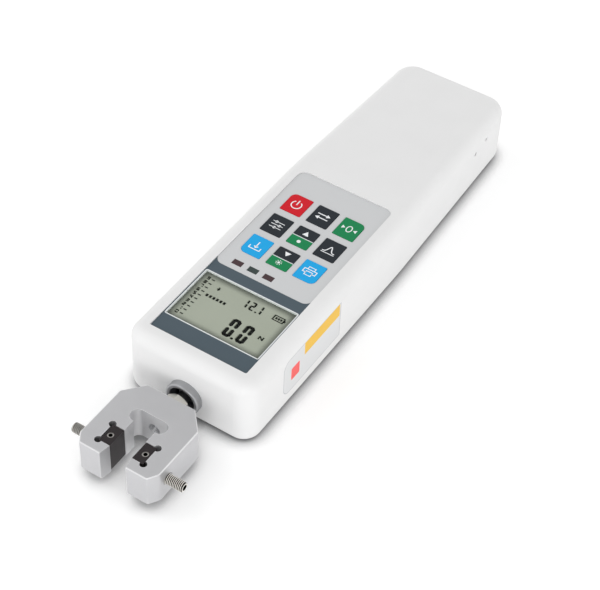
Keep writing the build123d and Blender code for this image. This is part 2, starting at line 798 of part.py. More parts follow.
with BuildPart() as clamp_body:
    half = clamp_width / 2
    half_front = clamp_front_width / 2
    half_back = clamp_back_width / 2
    with BuildSketch(Plane.XY.offset(clamp_bottom)) as clamp_plan:
        with BuildLine():
            Polyline(
                (-half_front, clamp_front), (half_front, clamp_front),
                (half, clamp_front + clamp_front_bevel), (half, clamp_back - clamp_back_bevel),
                (half_back, clamp_back), (-half_back, clamp_back),
                (-half, clamp_back - clamp_back_bevel), (-half, clamp_front + clamp_front_bevel),
                close=True,
            )
        make_face()
        fillet(clamp_plan.vertices().group_by(Axis.Y)[1], clamp_side_round)
        fillet(clamp_plan.vertices().group_by(Axis.Y)[0], clamp_front_round)
    extrude(amount=clamp_thickness)
    flat_faces = clamp_body.faces().filter_by(Axis.Z)
    chamfer(flat_faces.edges(), clamp_edge)
    # slot with a flared mouth and milled reliefs in its rear corners
    with BuildSketch(Plane.XY.offset(clamp_bottom)):
        with BuildLine():
            Polyline(
                (-mouth_width / 2, clamp_front), (mouth_width / 2, clamp_front),
                (jaw_face, clamp_front + mouth_length), (jaw_face, slot_end),
                (-jaw_face, slot_end), (-jaw_face, clamp_front + mouth_length), close=True,
            )
        make_face()
        with Locations(*[
            (side * (jaw_face + slot_relief_out), slot_end - slot_relief_radius) for side in (-1, 1)
        ]):
            Circle(slot_relief_radius)
        # pockets for the jaws, with milled reliefs in their outer corners
        pocket_half = jaw_back + pocket_clearance
        with Locations((0, jaw_y)):
            Rectangle(2 * pocket_half, jaw_length + 2 * jaw_gap)
        with Locations(*[
            (side * pocket_half, jaw_y + end * jaw_length / 2) for side in (-1, 1) for end in (-1, 1)
        ]):
            Circle(pocket_relief_radius)
    extrude(amount=clamp_thickness, mode=Mode.SUBTRACT)
    # threaded holes for the clamp screws and for the rod
    for side in (-1, 1):
        with BuildSketch(across(jaw_face, jaw_y, side)):
            Circle(screw_radius + screw_gap)
        extrude(amount=clamp_width / 2, mode=Mode.SUBTRACT)
    mouths = clamp_body.edges().filter_by(GeomType.CIRCLE).group_by(Axis.X)
    chamfer(mouths[0] + mouths[-1], screw_hole_bevel)
    with BuildSketch(rod_plane(clamp_back)):
        Circle(thread_radius)
    extrude(amount=clamp_back - slot_end + 1, mode=Mode.SUBTRACT)
clamp_body.part.label = "clamp_body"

jaws = []
jaw_pins = []
clamp_screws = []
jaw_low = clamp_bottom + jaw_bottom_gap
jaw_high = clamp_top - jaw_top_gap
for side, word in ((-1, "left"), (1, "right")):
    with BuildPart() as jaw:
        with BuildSketch(Plane.XY.offset(jaw_low)):
            with Locations((side * (jaw_face + jaw_back) / 2, jaw_y)):
                Rectangle(jaw_depth, jaw_length)
        extrude(amount=jaw_high - jaw_low)
        with BuildSketch(across(nose_start - nose_tip / 2, jaw_y, side)):
            Circle(nose_radius + screw_gap)
        extrude(amount=jaw_depth, mode=Mode.SUBTRACT)
        with BuildSketch(Plane.XY.offset(rod_height)):
            with Locations((side * pin_x, jaw_y)):
                Circle(pin_radius)
        extrude(amount=clamp_thickness / 2, mode=Mode.SUBTRACT)
    jaw.part.label = f"jaw_{word}"
    jaws.append(jaw)

    with BuildPart() as jaw_pin:
        with BuildSketch(Plane((side * pin_x, jaw_y, rod_height + groove_radius + screw_gap))):
            Circle(pin_radius)
        extrude(amount=jaw_high - pin_sink - rod_height - groove_radius - screw_gap)
        with BuildSketch(Plane((side * pin_x, jaw_y, jaw_high - pin_sink))):
            RegularPolygon(pin_socket, 6, major_radius=False)
        extrude(amount=-pin_socket_depth, mode=Mode.SUBTRACT)
    jaw_pin.part.label = f"jaw_pin_{word}"
    jaw_pins.append(jaw_pin)

    with BuildPart() as clamp_screw:
        with BuildSketch(across(nose_start, jaw_y, side)):
            Circle(nose_radius)
        extrude(amount=nose_tip)
        with BuildSketch(across(groove_start, jaw_y, side)):
            Circle(groove_radius)
        extrude(amount=groove_length)
        with BuildSketch(across(groove_start + groove_length, jaw_y, side)):
            Circle(nose_radius)
        extrude(amount=jaw_back + screw_gap - groove_start - groove_length)
        with BuildSketch(across(jaw_back + screw_gap, jaw_y, side)):
            Circle(screw_radius)
        extrude(amount=nose_start + screw_length - jaw_back - screw_gap)
        outer_end = clamp_screw.faces().sort_by(Axis.X)[-1 if side > 0 else 0]
        chamfer(outer_end.edges(), screw_bevel)
        with BuildSketch(across(nose_start + screw_length, jaw_y, side)):
            RegularPolygon(screw_socket, 6, major_radius=False)
        extrude(amount=-screw_socket_depth, mode=Mode.SUBTRACT)
    clamp_screw.part.label = f"clamp_screw_{word}"
    clamp_screws.append(clamp_screw)


# ================================================================ battery and sockets
with BuildPart() as battery_cells:
    for row in range(battery_rows):
        y_low = battery_y + (row - battery_rows / 2) * battery_step + battery_gap / 2
        with BuildSketch(Plane.XZ.offset(-y_low)):
            for column in range(battery_columns):
                with Locations((
                    (column - (battery_columns - 1) / 2) * battery_pitch, cover_thickness + battery_radius
                )):
                    Circle(battery_radius)
        extrude(amount=-battery_length)
battery_cells.part.label = "battery_cells"

socket_face = -body_width / 2 + socket_sink
io_board_top = io_board_bottom + board_thickness
with BuildPart() as socket_board:
    with BuildSketch(Plane.XY.offset(io_board_bottom)):
        with Locations(((io_board_left + io_board_right) / 2, 0)):
            Rectangle(io_board_width, 2 * io_board_half)
        with Locations(*io_screw_places):
            Circle(io_screw_radius, mode=Mode.SUBTRACT)
    extrude(amount=board_thickness)
socket_board.part.label = "socket_board"

with BuildPart() as socket_board_screws:
    with BuildSketch(Plane.XY.offset(io_board_bottom - io_screw_bite)):
        with Locations(*io_screw_places):
            Circle(io_screw_radius)
    extrude(amount=io_screw_bite + board_thickness)
    with BuildSketch(Plane.XY.offset(io_board_top)):
        with Locations(*io_screw_places):
            Circle(io_screw_head_radius)
    extrude(amount=io_screw_head)
socket_board_screws.part.label = "socket_board_screws"

with BuildPart() as data_socket:
    with BuildSketch(Plane.YZ.offset(socket_face)):
        with Locations((data_y, data_z)):
            Rectangle(data_width, data_height)
    extrude(amount=data_depth)
    with BuildSketch(Plane.YZ.offset(socket_face)):
        with Locations((data_y, data_z)):
            Rectangle(data_width - 2 * data_shell, data_height - 2 * data_shell)
            Rectangle(data_width - 2 * data_tongue, data_tongue, mode=Mode.SUBTRACT)
    extrude(amount=data_cavity, mode=Mode.SUBTRACT)
data_socket.part.label = "data_socket"

with BuildPart() as power_socket:
    with BuildSketch(Plane.YZ.offset(socket_face)):
        with Locations((power_y, power_z)):
            Rectangle(power_width, power_height)
    extrude(amount=power_depth)
    with BuildSketch(Plane.YZ.offset(socket_face)):
        with Locations((power_y, power_z)):
            Circle(power_bore)
            Circle(power_pin, mode=Mode.SUBTRACT)
    extrude(amount=power_bore_depth, mode=Mode.SUBTRACT)
power_socket.part.label = "power_socket"


# ================================================================ files
pieces = [
    top_shell, rear_cover, case_screws, stand_inserts,
    display_frame, display_window, lcd_cell, backlight_panel, keypad_overlay, *keys, key_domes,
    *lamp_lenses, status_leds, main_board, board_screws,
    collar_bush, measuring_rod, lock_nut, load_cell, cell_bracket, cell_bolt, bracket_screws,
    clamp_body, *jaws, *jaw_pins, *clamp_screws,
    battery_cells, socket_board, socket_board_screws, data_socket, power_socket,
]
for piece in pieces:
    export_step(piece.part, f"parts/{piece.part.label}.step")
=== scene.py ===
"""Digital force gauge with a two-jaw clamp on its rod: finishes, printed marks and threads.

Lengths in the object's own frame are metres.  `mm` turns millimetres into metres.
"""

import bpy
import numpy as np
from mathutils import Matrix, Vector


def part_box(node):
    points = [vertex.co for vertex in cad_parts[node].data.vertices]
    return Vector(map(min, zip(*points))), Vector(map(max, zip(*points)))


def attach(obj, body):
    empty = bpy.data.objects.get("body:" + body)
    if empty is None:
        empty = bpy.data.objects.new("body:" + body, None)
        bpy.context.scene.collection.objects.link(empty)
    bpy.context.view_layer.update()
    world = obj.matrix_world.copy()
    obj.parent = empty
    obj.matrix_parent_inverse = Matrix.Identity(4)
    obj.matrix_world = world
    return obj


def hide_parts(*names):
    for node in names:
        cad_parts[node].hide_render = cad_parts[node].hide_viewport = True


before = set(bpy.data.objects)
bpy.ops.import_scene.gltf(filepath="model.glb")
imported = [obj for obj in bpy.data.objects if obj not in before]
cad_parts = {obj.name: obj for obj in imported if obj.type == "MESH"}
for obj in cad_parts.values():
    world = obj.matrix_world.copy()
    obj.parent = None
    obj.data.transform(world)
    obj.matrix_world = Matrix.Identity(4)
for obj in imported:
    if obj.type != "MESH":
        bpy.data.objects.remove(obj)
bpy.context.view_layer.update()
mm = 0.001


def paint(red, green, blue):
    """Linear colour of a paint chip that is given as 0-255 screen values."""
    chip = np.array((red, green, blue)) / 255
    linear = np.where(chip <= 0.04045, chip / 12.92, ((chip + 0.055) / 1.055) ** 2.4)
    return (*linear.tolist(), 1.0)


def middle_and_size(node):
    """Centre and size of a CAD node's box, in millimetres."""
    low, high = (np.array(corner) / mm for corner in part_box(node))
    return (low + high) / 2, high - low


# ---------------------------------------------------------------- shader nodes
class Signal:
    """One output of a material's nodes; numbers and signals combine with ordinary arithmetic."""

    def __init__(self, board, socket):
        self.board = board
        self.socket = socket

    def maths(self, operation, *values):
        return self.board.node("ShaderNodeMath", {"operation": operation}, dict(enumerate(values)))

    def __add__(self, other):
        return self.maths("ADD", self, other)

    __radd__ = __add__

    def __mul__(self, other):
        return self.maths("MULTIPLY", self, other)

    __rmul__ = __mul__

    def __sub__(self, other):
        return self.maths("SUBTRACT", self, other)

    def __rsub__(self, other):
        return self.maths("SUBTRACT", other, self)

    def __truediv__(self, other):
        return self.maths("DIVIDE", self, other)

    def __pow__(self, other):
        return self.maths("POWER", self, other)

    def __abs__(self):
        return self.maths("ABSOLUTE", self)

    def at_least(self, other):
        return self.maths("MAXIMUM", self, other)

    def sine(self):
        return self.maths("SINE", self)

    def ramp(self, low, high):
        """0 below low, 1 above high and a soft step between; low may be the larger."""
        settings = {"interpolation_type": "SMOOTHSTEP"}
        inputs = {"Value": self, "From Min": low, "From Max": high}
        return self.board.node("ShaderNodeMapRange", settings, inputs)


class Board:
    """The nodes of a material or of the world, from an empty tree."""

    def __init__(self, owner):
        owner.use_nodes = True
        self.tree = owner.node_tree
        self.tree.nodes.clear()

    def node(self, kind, settings, inputs, output=0):
        """Adds a node of that kind; inputs maps a socket's name or number to a value or a signal."""
        made = self.tree.nodes.new(kind)
        for word, value in settings.items():
            setattr(made, word, value)
        for socket, value in inputs.items():
            if isinstance(value, Signal):
                self.tree.links.new(value.socket, made.inputs[socket])
            else:
                made.inputs[socket].default_value = value
        return Signal(self, made.outputs[output])

    def seen(self):
        """1 for what the camera, a gloss or a clear material sees, 0 for light that falls on things."""
        path = self.node("ShaderNodeLightPath", {}, {}, "Is Camera Ray")
        source = path.socket.node.outputs
        gloss = Signal(self, source["Is Glossy Ray"])
        return path.at_least(gloss).at_least(Signal(self, source["Is Transmission Ray"]))


class Finish(Board):
    """One material: its nodes, and the place on the object in millimetres as x, y and z."""

    def __init__(self, name, metallic=0.0, ior=1.45, roughness=0.5, specular=0.5):
        self.material = bpy.data.materials.new(name)
        super().__init__(self.material)
        self.shader = self.tree.nodes.new("ShaderNodeBsdfPrincipled")
        self.output = self.tree.nodes.new("ShaderNodeOutputMaterial")
        self.surface(Signal(self, self.shader.outputs["BSDF"]))
        constants = {"Metallic": metallic, "IOR": ior, "Roughness": roughness, "Specular IOR Level": specular}
        for word, value in constants.items():
            self.shader.inputs[word].default_value = value
        place = self.node("ShaderNodeTexCoord", {}, {}, "Object")
        settings = {"operation": "SCALE"}
        self.place = self.node("ShaderNodeVectorMath", settings, {0: place, "Scale": 1 / mm})
        self.x, self.y, self.z = (
            self.node("ShaderNodeSeparateXYZ", {}, {"Vector": self.place}, axis) for axis in "XYZ"
        )

    def surface(self, shader):
        """Sends a shader to the material's output."""
        self.tree.links.new(shader.socket, self.output.inputs["Surface"])

    def colour(self, share, first, second):
        """first where share is 0, second where it is 1."""
        settings = {"data_type": "RGBA"}
        return self.node("ShaderNodeMix", settings, {0: share, 6: first, 7: second}, 2)

    def grain(self, size, detail=2.0, stretch=(1, 1, 1)):
        """Cloudy noise from 0 to 1 with spots of that size in millimetres, longer along a stretch."""
        settings = {"operation": "DIVIDE"}
        vector = self.node("ShaderNodeVectorMath", settings, {0: self.place, 1: stretch})
        inputs = {"Vector": vector, "Scale": 1 / size, "Detail": detail}
        return self.node("ShaderNodeTexNoise", {}, inputs, "Fac")

    def pits(self, size):
        """Distance to the nearest of many scattered points, for a blasted or sandy skin."""
        return self.node("ShaderNodeTexVoronoi", {}, {"Vector": self.place, "Scale": 1 / size}, "Distance")

    def edge(self, reach):
        """0 on open surfaces, towards 1 within reach (mm) of a sharp edge."""
        bevelled = self.node("ShaderNodeBevel", {"samples": 6}, {"Radius": reach * mm})
        plain = self.node("ShaderNodeNewGeometry", {}, {}, "Normal")
        settings = {"operation": "DOT_PRODUCT"}
        level = self.node("ShaderNodeVectorMath", settings, {0: bevelled, 1: plain}, "Value")
        return level.ramp(1.0, 0.8)

    def rounded_box(self, u, v, centre, size, radius):
        """Distance in millimetres outside a rounded rectangle in u and v; below 0 inside it."""
        over_u = (abs(u - centre[0]) - (size[0] / 2 - radius)).at_least(0)
        over_v = (abs(v - centre[1]) - (size[1] / 2 - radius)).at_least(0)
        return (over_u * over_u + over_v * over_v) ** 0.5 - radius

    def bump(self, height, depth, strength=1.0):
        """Relief of that depth (mm) where height is 1."""
        inputs = {"Height": height, "Distance": depth * mm, "Strength": strength}
        self.set("Normal", self.node("ShaderNodeBump", {}, inputs))

    def set(self, socket, signal):
        """Feeds one of the shader's sockets."""
        self.tree.links.new(signal.socket, self.shader.inputs[socket])


# ---------------------------------------------------------------- finishes, with places in millimetres
SHELL_WHITE = paint(233, 233, 233)
SHELL_CLOUD = paint(229, 229, 229)     # the second tone of the painted housing
KEY_DARK = ((26, 34, 41), (31, 38, 45))
KEY_GREEN = ((0, 128, 74), (0, 134, 80))
PIN_SOCKET = 0.95                      # radius of the black disc painted as shade in a jaw pin's socket
AXIS_Y, AXIS_Z = -159.2, 14.0          # the two clamp screws' common axis, along x
ROD_Z = 14.0                           # the rod's own axis, along y
SIDE_FACE = 32.7                       # beyond this x lies the right side's flat face
PLATE_FRONT, PLATE_BACK = -91.6, -45.8  # label plate on the right side, along y
PLATE_LOW, PLATE_HIGH = 8.6, 29.3      # and up z
PLATE_CORNER = 4.6                     # round of its two corners at the rod end
SLOT_MIDDLE, SLOT_SIZE = (0, -148.0), (26, 13.6)  # region of the clamp's milled slot, in x and y


def shell_finish():
    """Fine sand-grained white paint, with a bordered plate on the right side: a band and a block on it."""
    finish = Finish("shell white", ior=1.46)
    side = finish.x.ramp(SIDE_FACE, SIDE_FACE + 0.1)
    reach = 2 * PLATE_CORNER
    middle = ((PLATE_FRONT + PLATE_BACK + reach) / 2, (PLATE_LOW + PLATE_HIGH) / 2)
    size = (PLATE_BACK - PLATE_FRONT + reach, PLATE_HIGH - PLATE_LOW)
    plate = finish.rounded_box(finish.y, finish.z, middle, size, PLATE_CORNER)
    plate = plate.at_least(finish.y - PLATE_BACK)
    on_plate = plate.ramp(0.05, -0.05) * side
    rim = abs(plate).ramp(0.2, 0.1) * side
    band = finish.rounded_box(finish.y, finish.z, (-60.9, 25.5), (28.6, 7.4), 0.05).ramp(0.04, -0.04) * side
    block = finish.rounded_box(finish.y, finish.z, (-82.4, 18.2), (6.6, 7.4), 0.8).ramp(0.04, -0.04) * side
    cloud = finish.grain(14.0)
    white = finish.colour(cloud, SHELL_WHITE, SHELL_CLOUD)
    white = finish.colour(on_plate, white, paint(217, 218, 219))
    white = finish.colour(rim * 0.85, white, paint(160, 163, 168))
    white = finish.colour(band, white, paint(238, 186, 0))
    finish.set("Base Color", finish.colour(block, white, paint(244, 72, 70)))
    skin = finish.grain(0.42, 3.0)
    finish.set("Roughness", 0.43 + 0.08 * cloud - 0.13 * on_plate)
    finish.bump(skin * (1 - on_plate) + 2.0 * on_plate, 0.02, 0.5)
    return finish.material


def cover_finish():
    finish = Finish("back cover white", ior=1.46)
    cloud = finish.grain(14.0)
    finish.set("Base Color", finish.colour(cloud, SHELL_WHITE, SHELL_CLOUD))
    finish.set("Roughness", 0.46 + 0.08 * cloud)
    finish.bump(finish.grain(0.42, 3.0), 0.02, 0.5)
    return finish.material


def film_skin(finish, roughness=0.4):
    """Fine satin skin of a printed film."""
    finish.set("Roughness", roughness + 0.08 * finish.grain(0.6))
    finish.bump(finish.grain(0.16, 2.0), 0.006, 0.35)
    return finish.material


def film_finish(name, chips):
    """Satin printed film over a moulded panel or key, clouded between two close chips."""
    finish = Finish(name, ior=1.45, specular=0.3)
    first, second = (paint(*chip) for chip in chips)
    finish.set("Base Color", finish.colour(finish.grain(9.0) * 0.5, first, second))
    return film_skin(finish)


def frame_finish():
    """Slate film round the display, with a white line next to the window."""
    finish = Finish("display frame film", ior=1.45, specular=0.3)
    centre, size = middle_and_size("display_window")
    reach = finish.rounded_box(finish.x, finish.y, centre[:2], size[:2], 0.3)
    line = reach.ramp(0.62, 0.56)
    slate = finish.colour(finish.grain(12.0) * 0.6, paint(74, 88, 97), paint(80, 92, 100))
    finish.set("Base Color", finish.colour(line, slate, paint(228, 231, 232)))
    return film_skin(finish, 0.33)


def split_key_finish(name, node):
    """Key printed dark on its far part and green on its near part, with a pale line between."""
    finish = Finish(name, ior=1.45, specular=0.3)
    centre, size = middle_and_size(node)
    split = centre[1] - 0.03 * size[1]
    dark, green = (
        finish.colour(finish.grain(9.0) * 0.5, *(paint(*chip) for chip in chips)) for chips in (KEY_DARK, KEY_GREEN)
    )
    printed = finish.colour(finish.y.ramp(split - 0.02, split + 0.02), green, dark)
    line = abs(finish.y - split).ramp(0.26, 0.18)
    finish.set("Base Color", finish.colour(line, printed, paint(224, 228, 230)))
    return film_skin(finish)


def crystal_finish():
    """Grey-green liquid crystal cell with a fine dot pitch, with painted shade that darkens it towards its edges,
    where its recess shades it.
    """
    finish = Finish("liquid crystal cell", roughness=0.35, ior=1.5)
    centre, size = middle_and_size("display_window")
    inside = finish.rounded_box(finish.x, finish.y, centre[:2], size[:2], 4.2)
    # painted shade of the recess, darkest at the window's edges
    shade = inside.ramp(-4.0, 0.3) * 0.9
    cell = finish.colour(finish.grain(16.0), paint(180, 183, 170), paint(173, 176, 163))
    finish.set("Base Color", finish.colour(shade, cell, paint(84, 88, 80)))
    finish.bump(finish.grain(0.5), 0.004, 0.3)
    return finish.material


def window_finish():
    """Clear window: see-through, with a sharp reflection on its outer face that grows at a low angle."""
    finish = Finish("clear window", metallic=1.0)
    finish.set("Base Color", finish.colour(finish.grain(8.0), paint(250, 251, 250), paint(255, 255, 255)))
    finish.set("Roughness", 0.03 + 0.04 * finish.grain(5.0))
    clear = finish.node("ShaderNodeBsdfTransparent", {}, {"Color": (0.97, 0.98, 0.97, 1)})
    gloss = finish.node("ShaderNodeFresnel", {}, {"IOR": 1.2})
    inner = finish.node("ShaderNodeNewGeometry", {}, {}, "Backfacing")
    mirror = Signal(finish, finish.shader.outputs["BSDF"])
    finish.surface(finish.node("ShaderNodeMixShader", {}, {0: gloss * (1 - inner), 1: clear, 2: mirror}))
    return finish.material


def blasted_finish():
    """Clear-anodised aluminium with a fine blasted skin, and painted light: sides painted paler than the top,
    painted highlights on edges and chamfers, and the milled slot's walls painted bright.
    """
    finish = Finish("blasted aluminium", metallic=0.85, ior=1.6)
    cloud = finish.grain(7.0)
    normal = finish.node("ShaderNodeNewGeometry", {}, {}, "Normal")
    level = abs(finish.node("ShaderNodeSeparateXYZ", {}, {"Vector": normal}, "Z"))
    # painted light: top faces take a darker chip than side faces, as light falls on them
    flat = finish.colour(cloud, paint(195, 195, 197), paint(201, 201, 203))
    side = finish.colour(cloud, paint(200, 200, 202), paint(207, 207, 209))
    # painted highlight on faces that slope between top and side, such as chamfers
    chamfer_highlight = level.ramp(0.3, 0.4) * level.ramp(0.99, 0.95) * 0.7
    # painted light: the slot's side walls are painted near white against their shade
    slot = finish.rounded_box(finish.x, finish.y, SLOT_MIDDLE, SLOT_SIZE, 0.1).ramp(0.2, -0.2)
    side = finish.colour(slot, side, paint(246, 246, 247))
    skin = finish.colour(level.ramp(0.3, 0.9), side, flat)
    # painted highlight along sharp edges, joined with the chamfers' highlight
    edges = chamfer_highlight.at_least(finish.edge(0.6) * 0.9)
    finish.set("Base Color", finish.colour(edges, skin, paint(238, 238, 239)))
    finish.set("Roughness", 0.42 + 0.08 * cloud)
    finish.bump(finish.pits(0.22), 0.02, 0.45)
    return finish.material


def thread_finish():
    """Nickel-plated set screw: bright ridges, with painted shade in the thread roots and in the socket, which is
    painted near black, by the distance from its axis.
    """
    finish = Finish("plated thread", metallic=1.0)
    over_y, over_z = finish.y - AXIS_Y, finish.z - AXIS_Z
    out = (over_y * over_y + over_z * over_z) ** 0.5
    # painted shade: thread roots dark, and the socket inside radius 1.5 painted near black
    root_shade = out.ramp(2.4, 2.2) * out.ramp(1.97, 2.03)
    dark = root_shade.at_least(out.ramp(1.5, 1.42))
    bright = finish.colour(finish.grain(2.0), paint(232, 229, 222), paint(242, 239, 232))
    finish.set("Base Color", finish.colour(dark, bright, paint(44, 42, 39)))
    lines = finish.grain(0.3, 3.0)
    finish.set("Roughness", 0.2 + 0.12 * lines)
    finish.bump(lines, 0.004, 0.4)
    return finish.material


def metal_finish(name, chip, roughness=0.28, grain_size=0.3, stretch=(1, 1, 1), depth=0.004):
    """Machined metal: a fine directional grain, and a clouded tone."""
    finish = Finish(name, metallic=1.0)
    pale = tuple(min(255, value + 10) for value in chip)
    finish.set("Base Color", finish.colour(finish.grain(3.0), paint(*chip), paint(*pale)))
    lines = finish.grain(grain_size, 3.0, stretch)
    finish.set("Roughness", roughness + 0.14 * lines)
    finish.bump(lines, depth, 0.4)
    return finish.material


def blackened_finish(name, chip, roughness=0.36):
    """Blackened steel with rubbed, slightly brighter edges."""
    finish = Finish(name, metallic=0.35, ior=1.5)
    worn = finish.edge(0.18) * 0.6
    dark = finish.colour(finish.grain(1.2), paint(*chip), paint(*(value + 8 for value in chip)))
    finish.set("Base Color", finish.colour(worn, dark, paint(120, 116, 116)))
    finish.set("Roughness", roughness + 0.12 * finish.grain(0.4))
    finish.bump(finish.grain(0.2, 3.0), 0.006, 0.4)
    return finish.material


def pin_finish(name, node):
    """Turned ring round a black disc that is painted shade in its hexagon socket, by the distance from the pin's own
    upright axis.
    """
    finish = Finish(name, metallic=1.0)
    centre, _ = middle_and_size(node)
    over_x, over_y = finish.x - centre[0], finish.y - centre[1]
    ring = ((over_x * over_x + over_y * over_y) ** 0.5).ramp(PIN_SOCKET - 0.05, PIN_SOCKET + 0.05)
    bright = finish.colour(finish.grain(0.8), paint(170, 167, 163), paint(186, 183, 179))
    # painted shade: the socket is a near-black disc inside PIN_SOCKET
    finish.set("Base Color", finish.colour(ring, paint(22, 20, 20), bright))
    finish.set("Roughness", 0.24 + 0.1 * finish.grain(0.3))
    finish.bump(finish.grain(0.2, 3.0), 0.004, 0.4)
    return finish.material


def plain_finish(name, chip, roughness=0.45, grain_size=0.4, depth=0.01, specular=0.5):
    """Moulded or coated surface with a fine skin."""
    finish = Finish(name, specular=specular)
    pale = tuple(min(255, value + 8) for value in chip)
    finish.set("Base Color", finish.colour(finish.grain(2.5), paint(*chip), paint(*pale)))
    finish.set("Roughness", roughness + 0.08 * finish.grain(1.0))
    finish.bump(finish.grain(grain_size), depth, 0.4)
    return finish.material


def board_finish():
    """Green solder resist over a faint pattern of tracks."""
    finish = Finish("solder resist", roughness=0.3)
    tracks = (finish.x * 3.4).sine() * (finish.y * 2.1).sine()
    finish.set("Base Color", finish.colour(tracks.ramp(0.3, 0.34), paint(16, 82, 46), paint(30, 108, 62)))
    finish.bump(tracks.ramp(0.28, 0.36), 0.03, 0.5)
    return finish.material


def coat(finish, *nodes):
    """Gives CAD nodes that material."""
    for node in nodes:
        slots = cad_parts[node].material_slots
        if not slots:
            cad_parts[node].data.materials.append(finish)
        for place in slots:
            place.material = finish


nickel = metal_finish("nickel plate", (204, 202, 195), 0.24)
plated = thread_finish()
steel = metal_finish("turned steel", (150, 150, 152), 0.3)
grey_collar = metal_finish("satin grey collar", (164, 165, 167), 0.34)
zinc = metal_finish("zinc plated steel", (160, 161, 166), 0.3)
brass = metal_finish("turned brass", (205, 172, 96), 0.26)
milled = metal_finish("milled aluminium", (200, 201, 203), 0.32, 0.4, (6, 1, 1))
jaw_black = blackened_finish("blackened steel", (33, 26, 28), 0.3)
coat(shell_finish(), "top_shell")
coat(cover_finish(), "rear_cover")
coat(frame_finish(), "display_frame")
coat(window_finish(), "display_window")
coat(crystal_finish(), "lcd_cell")
coat(film_finish("keypad film", ((206, 207, 208), (202, 204, 206))), "keypad_overlay")
coat(film_finish("dark key film", KEY_DARK), "key_set", "key_unit", "key_peak")
coat(film_finish("blue key film", ((8, 164, 230), (18, 172, 232))), "key_memory", "key_print")
coat(film_finish("red key film", ((206, 0, 26), (212, 4, 32))), "key_power")
coat(film_finish("green key film", KEY_GREEN), "key_zero")
coat(split_key_finish("up key film", "key_up"), "key_up")
coat(split_key_finish("down key film", "key_down"), "key_down")
coat(plain_finish("smoked red lens", (62, 40, 44), 0.2), "lamp_lens_low", "lamp_lens_high")
coat(plain_finish("smoked green lens", (42, 56, 54), 0.2), "lamp_lens_good")
coat(plain_finish("milky diffuser", (232, 232, 226), 0.5), "backlight_panel", "status_leds")
coat(board_finish(), "main_board", "socket_board")
coat(zinc, "case_screws", "board_screws", "cell_bolt", "bracket_screws", "socket_board_screws")
coat(brass, "stand_inserts")
coat(steel, "key_domes", "measuring_rod")
coat(grey_collar, "collar_bush")
coat(milled, "load_cell", "cell_bracket")
coat(blasted_finish(), "clamp_body")
coat(nickel, "lock_nut", "data_socket", "clamp_screw_left", "clamp_screw_right")
coat(jaw_black, "jaw_left", "jaw_right")
for node in ("jaw_pin_left", "jaw_pin_right"):
    coat(pin_finish(node.replace("_", " "), node), node)
coat(plain_finish("battery sleeve", (28, 70, 150), 0.3), "battery_cells")
coat(plain_finish("black socket", (26, 26, 27), 0.42), "power_socket")

# ---------------------------------------------------------------- printed marks
white_ink = plain_finish("white ink", (236, 238, 240), 0.4, 0.2, 0.003)
segment_ink = plain_finish("display segments", (8, 10, 8), 0.6, 0.3, 0.003, 0.1)
# painted shadow of the display's segments on the cell
segment_shadow_ink = plain_finish("display segment painted shadow", (124, 128, 114), 0.6, 0.3, 0.003, 0.1)


def flat_shape(outline):
    """Filled outline (corner points, anticlockwise, mm) as (points, loops around the fill)."""
    points = np.array(outline, float)
    return points, np.arange(len(points))[None]


def band_shape(points, width, closed=False):
    """Line of that width along points (mm): each point is moved to both sides along its mitre."""
    points = np.array(points, float)
    if closed:
        before = np.roll(points, 1, axis=0)
        after = np.roll(points, -1, axis=0)
    else:
        before = np.vstack((2 * points[:1] - points[1:2], points[:-1]))
        after = np.vstack((points[1:], 2 * points[-1:] - points[-2:-1]))
    step_in = (points - before) / np.linalg.norm(points - before, axis=1)[:, None]
    step_out = (after - points) / np.linalg.norm(after - points, axis=1)[:, None]
    along = step_in + step_out
    along /= np.linalg.norm(along, axis=1)[:, None]
    side = np.column_stack((-along[:, 1], along[:, 0]))
    across = np.column_stack((-step_out[:, 1], step_out[:, 0]))
    side *= (width / 2 / np.sum(side * across, axis=1))[:, None]
    count = len(points)
    here = np.arange(count if closed else count - 1)
    there = (here + 1) % count
    quads = np.column_stack((here + count, there + count, there, here))
    return np.vstack((points + side, points - side)), quads


def relief(name, shapes, low, high, finish, slot, body, centre=(0.0, 0.0)):
    """Flat shapes as thin solids between two heights: each fill is repeated at both heights, walled round.

    A wall stands on each edge whose reverse isn't an edge of the same shape.
    """
    points = []
    faces = []
    total = 0
    for outline, fills in shapes:
        count = len(outline)
        flat = (outline + np.array(centre)) * mm
        points += [np.column_stack((flat, np.full(count, level * mm))) for level in (low, high)]
        start, end = fills.ravel(), np.roll(fills, -1, axis=1).ravel()
        rim = ~np.isin(start * count + end, end * count + start)
        start, end = start[rim], end[rim]
        walls = np.column_stack((start, end, end + count, start + count))
        for part in (fills + count, fills[:, ::-1], walls):
            faces += (part + total).tolist()
        total += 2 * count
    return solid(name, np.vstack(points), faces, finish, body)


def solid(name, points, faces, finish, body):
    """Mesh object from points (m) and faces, with a finish and its material slot, riding on a body."""
    mesh = bpy.data.meshes.new(name)
    mesh.from_pydata(points.tolist(), [], faces)
    mesh.materials.append(finish)
    mesh.update()
    made = bpy.data.objects.new(name, mesh)
    bpy.context.scene.collection.objects.link(made)
    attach(made, body)
    return made


def arc(centre, radius, start, end, count=16):
    """Points on a circle from one angle to another, in degrees."""
    angles = np.radians(np.linspace(start, end, count))
    return np.column_stack((np.cos(angles), np.sin(angles))) * radius + np.array(centre)


def bar(x0, y0, x1, y1):
    """Filled upright rectangle."""
    return flat_shape([(x0, y0), (x1, y0), (x1, y1), (x0, y1)])


def disc(centre, radius):
    return flat_shape(arc(centre, radius, 0, 360, 25)[:-1])


def sloped(shape, origin, slant):
    """Leans a shape to the right: x grows by slant times the height above origin."""
    points, fills = shape
    leaned = points.copy()
    leaned[:, 0] += slant * (points[:, 1] - origin)
    return leaned, fills


SEGMENTS = {
    "0": "abcdef", "1": "bc", "2": "abged", "3": "abgcd", "4": "fgbc",
    "5": "afgcd", "6": "afgedc", "7": "abc", "8": "abcdefg", "9": "abcdfg",
}


